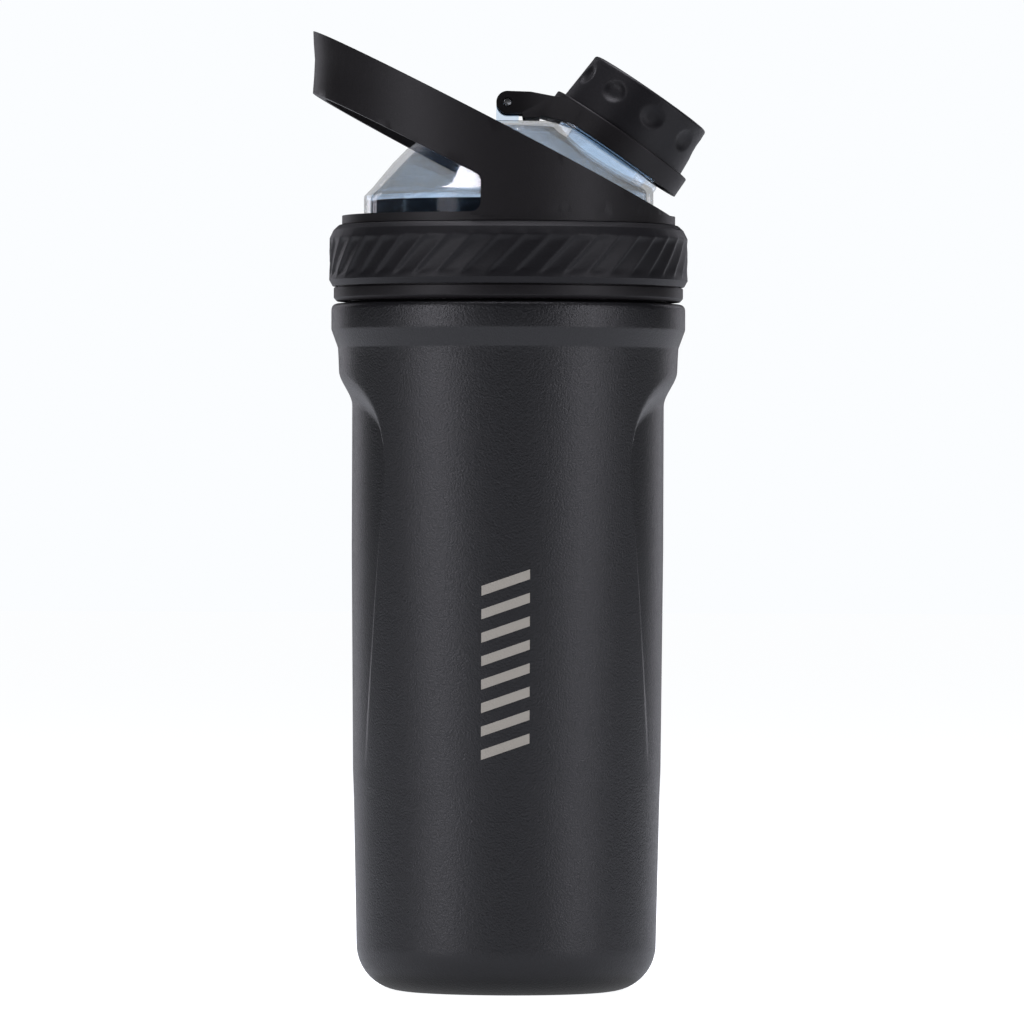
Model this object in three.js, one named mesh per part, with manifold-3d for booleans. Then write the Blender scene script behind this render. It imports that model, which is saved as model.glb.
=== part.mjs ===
// Insulated protein shaker bottle: a double-wall steel flask with two side grip recesses and a
// screw-on lid. The lid carries a rigid loop, a clear sloping dome with a tilted drinking spout,
// and a screw cap held by a hinged tether ring.
// Units are millimetres, +Z is up, and the origin is the centre of the flat base. The spout
// leans towards +X and the carry loop overhangs towards -X.
import * as THREE from "three";
import { mergeVertices } from "three/addons/utils/BufferGeometryUtils.js";
import Module from "manifold-3d";

const wasm = await Module();
wasm.setup();

// ---------------------------------------------------------------- driving dimensions
const GAP = 0.3; // space left between pieces that touch
const FACETS = 40; // round pieces
const SHELL_FACETS = 48; // the shell also carries the grip recesses

// Flask
const SHELL_WALL = 1.0;
const BASE_FLAT_R = 27.0;
const BASE_CORNER_R = 12.0;
const BODY_FOOT_R = 38.9; // at the top of the base corner
const BODY_LOW = { r: 39.7, z: 50 };
const BODY_HIGH = { r: 44.1, z: 164 };
const SHOULDER_R = 46.0;
const SHOULDER_FOOT = { r: 44.3, z: 166.8 };
const SHOULDER_Z = 171.6;
const SHOULDER_ROUND = 1.8;
const DECK_Z = 178.3;
const NECK_R = 41.0;
const NECK_TOP_Z = 193.9;
const LINER_R = 36.2;
const LINER_NECK_R = 39.6;
const LINER_WALL = 0.8;
const LINER_BOTTOM_Z = 8.0;
const LINER_CORNER_R = 6.0;
const LINER_FLARE = { low: 168, high: 174 };

// Grip recesses, one on +X and one on -X
const RECESS = { r: 40.45, top: 158, widest: 135, bottom: 60, halfAngle: 41.5, archPower: 2.6 };
const RECESS_NARROWING = 0.2266; // degrees of half angle lost per mm below the widest place
const RECESS_EDGE = 3.0; // degrees over which the side edge steps
const RECESS_ARCH_EDGE = 4.0; // mm over which the arch at the top steps

// Lid
const THREAD = { lead: 8, starts: 2, turn: 0.75, root: 2.2, crest: 1.0, firstZ: 186, offset: 2 };
const NECK_CREST_R = 42.1;
const COLLAR_INNER_R = 42.9;
const COLLAR_CREST_R = 41.5;
const COLLAR_BAND_R = 45.4;
const GRIP_R = 46.6;
const GRIP = { bottom: 182.8, bevel: 195.0, top: 199.2, inner: 44.7, lip: 43.6 };
const LID_DECK = { under: 195.6, seat: 197.1, top: 198.6, openingR: 33.5, bossR: 35.2, bossZ: 188 };
const COVER_R = 43.3;
const COVER = { bottom: 198.9, top: 201.1, openingR: 38.0, wall: 3.2 };
const LOOP = { reach: 51.0, depth: 16.1, slope: 0.517, heightAtRim: 200.2, rimX: 43.5 };
const WINDOW = { x: -7.15, corner: 2.6 };

// Clear dome and spout
const DOME = { skirtR: 37.6, wall: 1.7, shoulder: 206.2, top: 225.7, sealTop: 205.0 };
const DOME_RINGS = [
  { z: 208.5, r: 36.5, x: 1.1 },
  { z: 215.0, r: 29.1, x: -0.9 },
  { z: 218.5, r: 24.8, x: -1.75 },
  { z: 221.2, r: 20.8, x: -1.7 },
  { z: 224.4, r: 14.8, x: -0.4 },
  { z: 225.7, r: 12.0, x: 0.0 },
]; // x is how far a ring sits from the bottle's axis, so the +X face is the shallow one
const FLANGE_R = 40.0;
const SPOUT = { x: 29.5, z: 222.4, tilt: THREE.MathUtils.degToRad(34.5) }; // tether ring's top centre
const SPOUT_R = 13.6;
const SPOUT_BEAD = { r: 15.2, top: -5.8 };
const SPOUT_BORE_R = 11.7;
const SPOUT_TOP = 2.5;
const NECK_ROOT = -16; // the spout's neck starts here, inside the dome
const CAP_THREAD = { lead: 9, starts: 3, turn: 0.28, root: 1.6, crest: 0.8, firstZ: -2.3, offset: 1.5 };
const SPOUT_CREST_R = 14.8;

// Hinge, tether ring and cap
const PIN = { x: -0.4, z: 230.5, r: 1.1, halfLength: 9.5 };
const PIN_HOLE_R = 1.2;
const KNUCKLE = { r: 2.9, halfWidth: 5.5 };
const FORK = { inner: 6.0, outer: 9.6 };
const RING = { r: 20.25, inner: 18.55, bottom: -5.45 };
const CAP = { r: 18.2, topR: 17.5, bottom: -4.9, top: 13.2, edge: 1.0 };
const CAP_INNER_R = 15.2;
const CAP_CREST_R = 14.2;

// Mixer grid under the lid
const MIXER = { r: 33.1, wall: 2.0, bottom: 186, top: 194.5, bar: 1.8, barHeight: 2.0, spacing: 13 };

// ---------------------------------------------------------------- small tools
const P = (x, y) => new THREE.Vector2(x, y);
const { lerp, smoothstep, degToRad, radToDeg } = THREE.MathUtils;

// Points on a round stretch of a profile, from one angle to another in degrees.
function arc(cx, cy, r, from, to, steps) {
  return Array.from({ length: steps + 1 }, (_, i) => {
    const a = degToRad(lerp(from, to, i / steps));
    return P(cx + r * Math.cos(a), cy + r * Math.sin(a));
  });
}

// A profile of (radius, height) points turned round the Z axis.
function turned(profile, facets = FACETS) {
  const closed = profile[0].x > 0 ? [...profile, profile[0]] : profile;
  const outward = THREE.ShapeUtils.area(profile) > 0 ? closed : [...closed].reverse();
  return new THREE.LatheGeometry(outward, facets).rotateX(Math.PI / 2);
}

// A flat outline raised along Z.
function raised(outline, bottom, top) {
  const settings = { depth: top - bottom, bevelEnabled: false, steps: 1 };
  return new THREE.ExtrudeGeometry(new THREE.Shape(outline), settings).translate(0, 0, bottom);
}

// An outline drawn in the XZ plane, raised along Y from one side to the other.
function across(outline, fromY, toY) {
  const settings = { depth: toY - fromY, bevelEnabled: false, steps: 1 };
  const prism = new THREE.ExtrudeGeometry(new THREE.Shape(outline), settings);
  return prism.rotateX(Math.PI / 2).translate(0, toY, 0);
}

function rod(r, from, to, facets = FACETS) {
  return turned([P(0, from), P(r, from), P(r, to), P(0, to)], facets);
}

function pinRod(r, halfLength, facets = 20) {
  return rod(r, -halfLength, halfLength, facets).rotateX(Math.PI / 2);
}

function toSolid(geometry) {
  const bare = geometry.index ? geometry.toNonIndexed() : geometry.clone();
  bare.deleteAttribute("normal");
  bare.deleteAttribute("uv");
  const merged = mergeVertices(bare, 1e-4);
  return new wasm.Manifold(
    new wasm.Mesh({
      numProp: 3,
      vertProperties: merged.attributes.position.array,
      triVerts: new Uint32Array(merged.index.array),
    }),
  );
}

function toGeometry(solid) {
  const { vertProperties, triVerts } = solid.getMesh();
  const geometry = new THREE.BufferGeometry();
  geometry.setAttribute("position", new THREE.BufferAttribute(vertProperties, 3));
  geometry.setIndex(new THREE.BufferAttribute(triVerts, 1));
  geometry.computeVertexNormals();
  return geometry;
}

const joined = (...geometries) => geometries.map(toSolid).reduce((a, b) => a.add(b));

// Moves each corner of a geometry with a function that changes it in place.
function reshaped(geometry, move) {
  const position = geometry.attributes.position;
  const v = new THREE.Vector3();
  for (let i = 0; i < position.count; i++) {
    move(v.fromBufferAttribute(position, i));
    position.setXYZ(i, v.x, v.y, v.z);
  }
  return geometry;
}

// One screw ridge: a straight rib of trapezium section, wrapped up a helix. wallR lies just inside
// the wall that carries the ridge and crestR is the ridge's free edge.
function threadRidge(thread, wallR, crestR, startZ, startAngle) {
  const section = [
    P(wallR, -thread.root / 2),
    P(crestR, -thread.crest / 2),
    P(crestR, thread.crest / 2),
    P(wallR, thread.root / 2),
  ];
  const outline = crestR > wallR ? section : section.reverse();
  const sweep = 2 * Math.PI * thread.turn;
  const steps = Math.ceil(thread.turn * FACETS);
  const settings = { depth: sweep, bevelEnabled: false, steps };
  const rib = new THREE.ExtrudeGeometry(new THREE.Shape(outline), settings);
  reshaped(rib, (v) => {
    const angle = startAngle + v.z;
    const z = startZ + v.y + (thread.lead * v.z) / (2 * Math.PI);
    v.set(v.x * Math.cos(angle), v.x * Math.sin(angle), z);
  });
  // The wrap swaps two axes, which turns the faces round, so each triangle is turned back.
  const flat = rib.index ? rib.toNonIndexed() : rib;
  const p = flat.attributes.position.array;
  for (let i = 0; i < p.length; i += 9)
    for (let k = 0; k < 3; k++) [p[i + 3 + k], p[i + 6 + k]] = [p[i + 6 + k], p[i + 3 + k]];
  return flat;
}

function threadRidges(thread, wallR, crestR, startZ) {
  return Array.from({ length: thread.starts }, (_, i) =>
    threadRidge(thread, wallR, crestR, startZ, (2 * Math.PI * i) / thread.starts),
  );
}

// ---------------------------------------------------------------- materials
function finish(color, roughness, metalness = 0, opacity = 1) {
  return { color, roughness, metalness, opacity, transparent: opacity < 1 };
}
const POWDER_COAT = finish("#2a2b30", 0.55, 0.1);
const BRUSHED_STEEL = finish("#b9bbbd", 0.35, 1.0);
const BLACK_PLASTIC = finish("#222124", 0.5);
const SOFT_BLACK = finish("#2b2b30", 0.75);
const SILICONE = finish("#18181a", 0.8);
const CLEAR_PLASTIC = finish("#c4d8e6", 0.08, 0, 0.45);
const GETTER = finish("#8c8f93", 0.6, 0.8);

const shaker = new THREE.Group();

function addPiece(name, shape, look, parent = shaker) {
  const geometry = shape.isBufferGeometry ? shape : toGeometry(shape);
  const mesh = new THREE.Mesh(geometry, new THREE.MeshStandardMaterial(look));
  mesh.name = name;
  parent.add(mesh);
  return mesh;
}

// ---------------------------------------------------------------- flask
// Radius of the plain body, which tapers straight from the shoulder to the foot.
function bodyRadius(z) {
  if (z >= BODY_LOW.z) {
    return lerp(BODY_LOW.r, BODY_HIGH.r, (z - BODY_LOW.z) / (BODY_HIGH.z - BODY_LOW.z));
  }
  return lerp(BODY_FOOT_R, BODY_LOW.r, (z - BASE_CORNER_R) / (BODY_LOW.z - BASE_CORNER_R));
}

// Half angle of a grip recess at a height: an arch above its widest place, a taper below.
function recessHalfAngle(z) {
  if (z <= RECESS.widest) return RECESS.halfAngle - RECESS_NARROWING * (RECESS.widest - z);
  const rise = Math.min((z - RECESS.widest) / (RECESS.top - RECESS.widest), 1);
  return RECESS.halfAngle * (1 - rise ** RECESS.archPower) ** (1 / RECESS.archPower);
}

// How far the wall sits in from the plain body at an angle from the X axis, in degrees.
function recessDepth(angle, z) {
  const depth = bodyRadius(z) - RECESS.r;
  if (depth <= 0 || z >= RECESS.top + RECESS_ARCH_EDGE) return 0;
  const side = smoothstep(recessHalfAngle(z - RECESS_ARCH_EDGE / 2) - angle, 0, RECESS_EDGE);
  const arch = 1 - smoothstep(z, RECESS.top - 1.75 * RECESS_ARCH_EDGE, RECESS.top + RECESS_ARCH_EDGE / 2);
  return depth * Math.min(side, arch);
}

function pressRecesses(v) {
  const r = Math.hypot(v.x, v.y);
  if (r < BODY_LOW.r - SHELL_WALL - 1 || v.z < RECESS.bottom || v.z > BODY_HIGH.z) return;
  const angle = radToDeg(Math.atan2(Math.abs(v.y), Math.abs(v.x)));
  const scale = (r - recessDepth(angle, v.z)) / r;
  v.x *= scale;
  v.y *= scale;
}

function outerShell() {
  const outerRows = [50, 80, 110, 136, 146, 150, 154, 158, 162];
  const innerRows = [50, 92, 136, 149, 155, 163];
  const wall = (rows, offset) => rows.map((z) => P(bodyRadius(z) - offset, z));
  const cornerX = BODY_FOOT_R - BASE_CORNER_R;
  const inside = SHELL_WALL;
  const roundX = SHOULDER_R - SHOULDER_ROUND;
  const profile = [
    P(BASE_FLAT_R + GAP, 0),
    ...arc(cornerX, BASE_CORNER_R, BASE_CORNER_R, -84, 0, 4),
    ...wall(outerRows, 0),
    P(SHOULDER_FOOT.r, SHOULDER_FOOT.z),
    P(SHOULDER_R, SHOULDER_Z),
    ...arc(roundX, DECK_Z - SHOULDER_ROUND, SHOULDER_ROUND, 0, 90, 2),
    P(NECK_R, DECK_Z),
    P(NECK_R, NECK_TOP_Z),
    P(NECK_R - inside + 0.1, NECK_TOP_Z),
    P(NECK_R - inside + 0.1, DECK_Z - inside),
    P(roundX - 0.3, DECK_Z - inside),
    P(SHOULDER_R - inside, DECK_Z - SHOULDER_ROUND - 0.5),
    P(SHOULDER_R - inside, SHOULDER_Z + 0.4),
    P(SHOULDER_FOOT.r - inside, SHOULDER_FOOT.z + 0.4),
    ...wall(innerRows, inside).reverse(),
    ...arc(cornerX, BASE_CORNER_R, BASE_CORNER_R - inside, 0, -84, 3),
    P(BASE_FLAT_R + GAP, inside),
  ];
  const shell = reshaped(turned(profile, SHELL_FACETS), pressRecesses);
  return joined(shell, ...threadRidges(THREAD, NECK_R - 0.4, NECK_CREST_R, THREAD.firstZ));
}

function innerLiner() {
  const cornerX = LINER_R - LINER_CORNER_R;
  const cornerZ = LINER_BOTTOM_Z + LINER_CORNER_R;
  const inner = LINER_R - LINER_WALL;
  const neckInner = LINER_NECK_R - LINER_WALL;
  return turned([
    P(0, LINER_BOTTOM_Z),
    ...arc(cornerX, cornerZ, LINER_CORNER_R, -90, 0, 3),
    P(LINER_R, LINER_FLARE.low),
    P(LINER_NECK_R, LINER_FLARE.high),
    P(LINER_NECK_R, NECK_TOP_Z),
    P(neckInner, NECK_TOP_Z),
    P(neckInner, LINER_FLARE.high + 0.2),
    P(inner, LINER_FLARE.low + 0.2),
    ...arc(cornerX, cornerZ, LINER_CORNER_R - LINER_WALL, 0, -90, 3),
    P(0, LINER_BOTTOM_Z + LINER_WALL),
  ]);
}

addPiece("outer_shell", outerShell(), POWDER_COAT);
addPiece("base_plate", rod(BASE_FLAT_R, 0, SHELL_WALL), POWDER_COAT);
addPiece("inner_liner", innerLiner(), BRUSHED_STEEL);
addPiece("getter_pill", rod(5, LINER_BOTTOM_Z - 1.6, LINER_BOTTOM_Z - GAP, 24), GETTER);

// ---------------------------------------------------------------- lid
function lidCollar() {
  const bottom = DECK_Z + 0.6;
  const bandTop = GRIP.bottom - GAP;
  const underGripR = GRIP.inner - GAP;
  const lipR = GRIP.lip - 0.4;
  const lipZ = 196.6;
  const body = turned([
    P(COLLAR_INNER_R, bottom),
    P(COLLAR_BAND_R - 0.8, bottom),
    P(COLLAR_BAND_R, bottom + 0.8),
    P(COLLAR_BAND_R, bandTop),
    P(underGripR, bandTop),
    P(underGripR, lipZ),
    P(lipR, lipZ),
    P(lipR, LID_DECK.top),
    P(FLANGE_R + 0.5, LID_DECK.top),
    P(FLANGE_R + 0.5, LID_DECK.seat),
    P(LID_DECK.openingR, LID_DECK.seat),
    P(LID_DECK.openingR, LID_DECK.bossZ),
    P(LID_DECK.bossR, LID_DECK.bossZ),
    P(LID_DECK.bossR, LID_DECK.under),
    P(COLLAR_INNER_R, LID_DECK.under),
  ]);
  const startZ = THREAD.firstZ - THREAD.offset;
  return joined(body, ...threadRidges(THREAD, COLLAR_INNER_R + 0.4, COLLAR_CREST_R, startZ));
}

function gripRing() {
  return turned([
    P(GRIP.inner, GRIP.bottom),
    P(GRIP_R - 0.9, GRIP.bottom),
    P(GRIP_R - 0.1, GRIP.bottom + 1.5),
    P(GRIP_R, GRIP.bevel),
    P(GRIP_R - 1.1, GRIP.bevel + 2.3),
    P(GRIP.lip, GRIP.top),
    P(GRIP.lip, GRIP.top - 2.3),
    P(GRIP.inner, GRIP.top - 2.3),
  ]);
}

// Plan of the cover and its loop: round on the +X side, drawn out to an ellipse on the -X side.
function coverPlan(inset) {
  return Array.from({ length: FACETS }, (_, i) => {
    const a = (2 * Math.PI * i) / FACETS;
    const reach = Math.cos(a) < 0 ? LOOP.reach : COVER_R;
    return P((reach - inset) * Math.cos(a), (COVER_R - inset) * Math.sin(a));
  });
}

const loopTop = (x) => LOOP.heightAtRim + (LOOP.rimX - x) * LOOP.slope;
const loopUnder = (x) => loopTop(x) - LOOP.depth;

// Side view of the wall and loop: a sloping top, and a window under the loop.
function loopSideView() {
  const far = -LOOP.reach - 5;
  const base = COVER.top - 1;
  const rimX = LOOP.rimX - (COVER.top - LOOP.heightAtRim) / LOOP.slope;
  const c = WINDOW.corner;
  const turn = 90 - radToDeg(Math.atan(LOOP.slope));
  return [
    P(rimX, base),
    P(rimX, COVER.top),
    P(far, loopTop(far)),
    P(far, loopUnder(far)),
    ...arc(WINDOW.x - c, loopUnder(WINDOW.x) - c * Math.tan(degToRad(turn / 2)), c, turn, 0, 3),
    ...arc(WINDOW.x - c, COVER.top + c, c, 0, -90, 4),
    P(WINDOW.x - c, base),
  ];
}

function carryCover() {
  const edge = 0.7;
  const disc = turned([
    P(COVER.openingR, COVER.bottom),
    P(COVER_R, COVER.bottom),
    P(COVER_R, COVER.top - edge),
    P(COVER_R - edge, COVER.top),
    P(COVER.openingR, COVER.top),
  ]);
  const highest = loopTop(-LOOP.reach) + 1;
  const wall = toSolid(raised(coverPlan(0), COVER.top - 1, highest))
    .intersect(toSolid(across(loopSideView(), -COVER_R - 5, COVER_R + 5)))
    .subtract(toSolid(raised(coverPlan(COVER.wall), COVER.top - 2, highest + 1)));
  return toSolid(disc).add(wall);
}

addPiece("lid_collar", lidCollar(), BLACK_PLASTIC);
addPiece("grip_ring", gripRing(), SOFT_BLACK);
addPiece("lid_gasket", turned([P(38.5, 194.2), P(41.3, 194.2), P(41.3, 195.3), P(38.5, 195.3)]), SILICONE);
addPiece("carry_cover", carryCover(), BLACK_PLASTIC);

// ---------------------------------------------------------------- clear dome and spout
// Slides a corner along X by what its height asks for, between one ring and the next.
function leanDome(v) {
  const rings = [{ z: DOME.shoulder, x: 0 }, ...DOME_RINGS];
  const above = Math.max(rings.findIndex((ring) => ring.z >= v.z), 1);
  const [low, high] = rings.slice(above - 1, above + 1);
  v.x += lerp(low.x, high.x, Math.max(v.z - low.z, 0) / (high.z - low.z));
}

function domeSkin(inset) {
  const down = inset * 0.75;
  return [
    P(DOME.skirtR - inset, DOME.shoulder - down / 2),
    ...DOME_RINGS.map(({ r, z }) => P(r - inset * 0.6, z - down)),
    P(0, DOME.top - down),
  ];
}

const inSpoutFrame = new THREE.Matrix4()
  .makeTranslation(SPOUT.x, 0, SPOUT.z)
  .multiply(new THREE.Matrix4().makeRotationY(SPOUT.tilt));

function clearDome() {
  const flangeBottom = LID_DECK.seat + GAP;
  const shell = turned([
    P(DOME.skirtR - DOME.wall, flangeBottom),
    P(FLANGE_R, flangeBottom),
    P(FLANGE_R, LID_DECK.top),
    P(DOME.skirtR, LID_DECK.top),
    ...domeSkin(0),
    ...domeSkin(DOME.wall).reverse(),
  ]);
  const hollow = turned([
    P(0, flangeBottom - 1),
    P(DOME.skirtR - DOME.wall, flangeBottom - 1),
    ...domeSkin(DOME.wall),
  ]);
  const neck = turned([
    P(0, NECK_ROOT),
    P(SPOUT_BEAD.r, NECK_ROOT),
    P(SPOUT_BEAD.r, SPOUT_BEAD.top),
    P(SPOUT_R, SPOUT_BEAD.top),
    P(SPOUT_R, SPOUT_TOP),
    P(0, SPOUT_TOP),
  ]);
  const ridges = threadRidges(CAP_THREAD, SPOUT_R - 0.5, SPOUT_CREST_R, CAP_THREAD.firstZ);
  const tilted = (geometry) => toSolid(geometry.applyMatrix4(inSpoutFrame));
  const knuckle = joined(
    new THREE.BoxGeometry(2 * KNUCKLE.r, 2 * KNUCKLE.halfWidth, PIN.z - DOME.top + 1).translate(
      PIN.x,
      0,
      (PIN.z + DOME.top - 1) / 2,
    ),
    pinRod(KNUCKLE.r, KNUCKLE.halfWidth).translate(PIN.x, 0, PIN.z),
  );
  const hole = pinRod(PIN_HOLE_R, KNUCKLE.halfWidth + 1).translate(PIN.x, 0, PIN.z);
  return toSolid(reshaped(shell, leanDome))
    .add(tilted(neck))
    .subtract(toSolid(reshaped(hollow, leanDome)))
    .add(ridges.map(tilted).reduce((a, b) => a.add(b)))
    .subtract(tilted(rod(SPOUT_BORE_R, NECK_ROOT - 1, SPOUT_TOP + 1)))
    .add(knuckle)
    .subtract(toSolid(hole));
}

addPiece("clear_dome", clearDome(), CLEAR_PLASTIC);
addPiece(
  "dome_seal",
  turned([
    P(LID_DECK.openingR + 0.1, LID_DECK.seat + GAP),
    P(DOME.skirtR - DOME.wall - GAP, LID_DECK.seat + GAP),
    P(DOME.skirtR - DOME.wall - GAP, DOME.sealTop),
    P(LID_DECK.openingR + 0.1, DOME.sealTop),
  ]),
  SILICONE,
);
addPiece("hinge_pin", pinRod(PIN.r, PIN.halfLength), BRUSHED_STEEL).position.set(PIN.x, 0, PIN.z);

// ---------------------------------------------------------------- mixer grid
function mixerGrid() {
  const ring = turned([
    P(MIXER.r - MIXER.wall, MIXER.bottom),
    P(MIXER.r, MIXER.bottom),
    P(MIXER.r, MIXER.top),
    P(MIXER.r - MIXER.wall, MIXER.top),
  ]);
  const bar = (length, z) =>
    new THREE.BoxGeometry(length, MIXER.bar, MIXER.barHeight).translate(0, 0, z + MIXER.barHeight / 2);
  const bars = [];
  for (const place of [-1.5, -0.5, 0.5, 1.5].map((n) => n * MIXER.spacing)) {
    const length = 2 * Math.sqrt((MIXER.r - MIXER.wall / 2) ** 2 - place ** 2);
    bars.push(bar(length, MIXER.bottom + 0.3).translate(0, place, 0));
    bars.push(bar(length, MIXER.bottom + 0.6).rotateZ(Math.PI / 2).translate(place, 0, 0));
  }
  return joined(ring, ...bars);
}

addPiece("mixer_grid", mixerGrid(), SOFT_BLACK);

// ---------------------------------------------------------------- tether ring and cap
// These pieces are drawn upright about the spout's own axis, and the group tilts them into place.
const spoutGroup = new THREE.Group();
spoutGroup.position.set(SPOUT.x, 0, SPOUT.z);
spoutGroup.rotation.y = SPOUT.tilt;
shaker.add(spoutGroup);

// A place given in the bottle's XZ plane, as seen in the spout's frame.
function fromSpout(x, z) {
  const dx = x - SPOUT.x;
  const dz = z - SPOUT.z;
  const c = Math.cos(SPOUT.tilt);
  const s = Math.sin(SPOUT.tilt);
  return P(dx * c - dz * s, dx * s + dz * c);
}

function tetherRing() {
  const pin = fromSpout(PIN.x, PIN.z);
  const armSide = [
    fromSpout(PIN.x, PIN.z - KNUCKLE.r + 0.1),
    fromSpout(3.4, 227.6),
    fromSpout(3.6, 226.5),
    fromSpout(7.9, 226.5),
    fromSpout(8.1, 227.0),
    fromSpout(11.7, 226.1),
    fromSpout(16.4, 224.7),
    fromSpout(20.4, 222.3),
    P(-6, RING.bottom + 0.4),
    P(-6, -0.8),
    fromSpout(15.4, 231.4),
    fromSpout(11.4, 232.0),
    fromSpout(5.7, 233.2),
    fromSpout(PIN.x, PIN.z + KNUCKLE.r),
  ];
  const armPlan = [
    P(pin.x - 4, -FORK.outer),
    P(pin.x + 4, -FORK.outer),
    P(-11.5, -16.5),
    P(-4, -19.6),
    P(-4, 19.6),
    P(-11.5, 16.5),
    P(pin.x + 4, FORK.outer),
    P(pin.x - 4, FORK.outer),
  ];
  const ring = turned([
    P(RING.inner, RING.bottom),
    P(RING.r, RING.bottom),
    P(RING.r, -0.4),
    P(RING.r - 0.4, 0),
    P(RING.inner, 0),
  ]);
  const arm = toSolid(across(armSide, -FORK.outer * 2, FORK.outer * 2)).intersect(
    toSolid(raised(armPlan, -20, 10)),
  );
  const boss = pinRod(KNUCKLE.r, FORK.outer).translate(pin.x, 0, pin.y);
  const slotEnd = fromSpout(6.5, 230).x;
  const slot = new THREE.BoxGeometry(20, 2 * FORK.inner, 24).translate(slotEnd - 10, 0, pin.y);
  return arm
    .add(toSolid(boss))
    .add(toSolid(ring))
    .subtract(toSolid(rod(RING.inner, -30, 10)))
    .subtract(toSolid(slot))
    .subtract(toSolid(pinRod(PIN_HOLE_R, FORK.outer + 1).translate(pin.x, 0, pin.y)));
}

function capShell() {
  const wall = 1.1;
  const ceiling = CAP.top - 1.2;
  return turned([
    P(CAP.r - wall, CAP.bottom),
    P(CAP.r, CAP.bottom),
    P(CAP.r, 0.3),
    ...arc(CAP.topR - CAP.edge, CAP.top - CAP.edge, CAP.edge, 0, 90, 3),
    P(0, CAP.top),
    P(0, ceiling),
    P(CAP.topR - wall + 0.2, ceiling),
  ]);
}

function capCore() {
  const ceiling = 4.6;
  const body = turned([
    P(CAP_INNER_R, CAP.bottom),
    P(CAP.r - 1.4, CAP.bottom),
    P(CAP.r - 1.75, 8),
    P(14.5, 8),
    P(14.5, ceiling + 1.5),
    P(0, ceiling + 1.5),
    P(0, ceiling),
    P(CAP_INNER_R, ceiling),
  ]);
  const startZ = CAP_THREAD.firstZ - CAP_THREAD.offset;
  return joined(body, ...threadRidges(CAP_THREAD, CAP_INNER_R + 0.5, CAP_CREST_R, startZ));
}

addPiece("tether_ring", tetherRing(), BLACK_PLASTIC, spoutGroup);
addPiece("cap_shell", capShell(), SOFT_BLACK, spoutGroup);
addPiece("cap_core", capCore(), BLACK_PLASTIC, spoutGroup);
addPiece("cap_seal", rod(14.6, SPOUT_TOP + GAP, 4.6 - GAP), SILICONE, spoutGroup);

export default shaker;
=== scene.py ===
"""An insulated protein shaker bottle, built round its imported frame.

Outlines are given in millimetres and placed in the frame's metres: +Z is up, the origin is the centre
of the base, the spout leans towards +X and the carry loop reaches towards -X.
"""
import math

import bpy
from bpy.props import FloatProperty, FloatVectorProperty, IntProperty, PointerProperty
from mathutils import Matrix, Vector


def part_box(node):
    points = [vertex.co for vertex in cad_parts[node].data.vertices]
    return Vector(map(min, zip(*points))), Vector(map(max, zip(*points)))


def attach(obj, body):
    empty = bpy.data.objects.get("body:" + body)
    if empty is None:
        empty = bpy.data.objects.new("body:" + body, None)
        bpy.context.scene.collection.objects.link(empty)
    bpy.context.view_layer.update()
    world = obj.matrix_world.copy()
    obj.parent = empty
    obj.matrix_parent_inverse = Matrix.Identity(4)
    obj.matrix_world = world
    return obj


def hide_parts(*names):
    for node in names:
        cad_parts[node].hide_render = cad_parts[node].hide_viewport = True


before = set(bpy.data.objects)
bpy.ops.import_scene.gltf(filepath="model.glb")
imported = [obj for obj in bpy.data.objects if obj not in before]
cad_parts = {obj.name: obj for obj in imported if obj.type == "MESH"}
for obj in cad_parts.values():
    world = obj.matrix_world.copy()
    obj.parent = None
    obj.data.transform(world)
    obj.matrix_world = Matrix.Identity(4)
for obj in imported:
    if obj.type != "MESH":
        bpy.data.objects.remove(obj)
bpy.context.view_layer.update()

bl_info = {
    "name": "Shaker Bottle",
    "version": (1, 0, 0),
    "blender": (4, 5, 0),
    "location": "View3D > Sidebar > Shaker",
    "description": "Models an insulated protein shaker bottle piece by piece round its frame",
    "category": "Object",
}

MM = 0.001
FULL_TURN = 2 * math.pi


def linear(code):
    """The linear colour of an sRGB hex code."""
    channels = [int(code[i : i + 2], 16) / 255 for i in (1, 3, 5)]
    return tuple(c / 12.92 if c <= 0.04045 else ((c + 0.055) / 1.055) ** 2.4 for c in channels)


# ------------------------------------------------------------------ fixed dimensions, in millimetres
def node_box(node):
    """Lowest and highest corner of a frame node, in millimetres."""
    low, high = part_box(node)
    return Vector(low) / MM, Vector(high) / MM


SHELL_TOP = node_box("outer_shell")[1].z
LOOP_REACH = -node_box("carry_cover")[0].x
LOOP_SLOPE = 0.517  # fall of the loop's top plane towards the spout
LOOP_RIM = (43.5, 200.2)  # a place on that plane, x and z
LOOP_DEPTH = 16.1  # height of the strap, measured straight down
WINDOW_X = -7.15
WINDOW_CORNER = 2.6
COVER_R = 43.3
COVER_Z = (198.9, 201.1)
COVER_OPENING = 38.0
DECK_Z = 178.3
NECK_R = 41.0
BASE_FLAT_R = 27.0
BASE_CORNER_R = 12.0
FOOT_R = 38.9
GRIP_INNER = 44.7
DOME_SKIRT = 37.6
DOME_WALL = 1.7
DOME_SHOULDER = 206.2
DOME_TOP = 225.7
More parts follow.
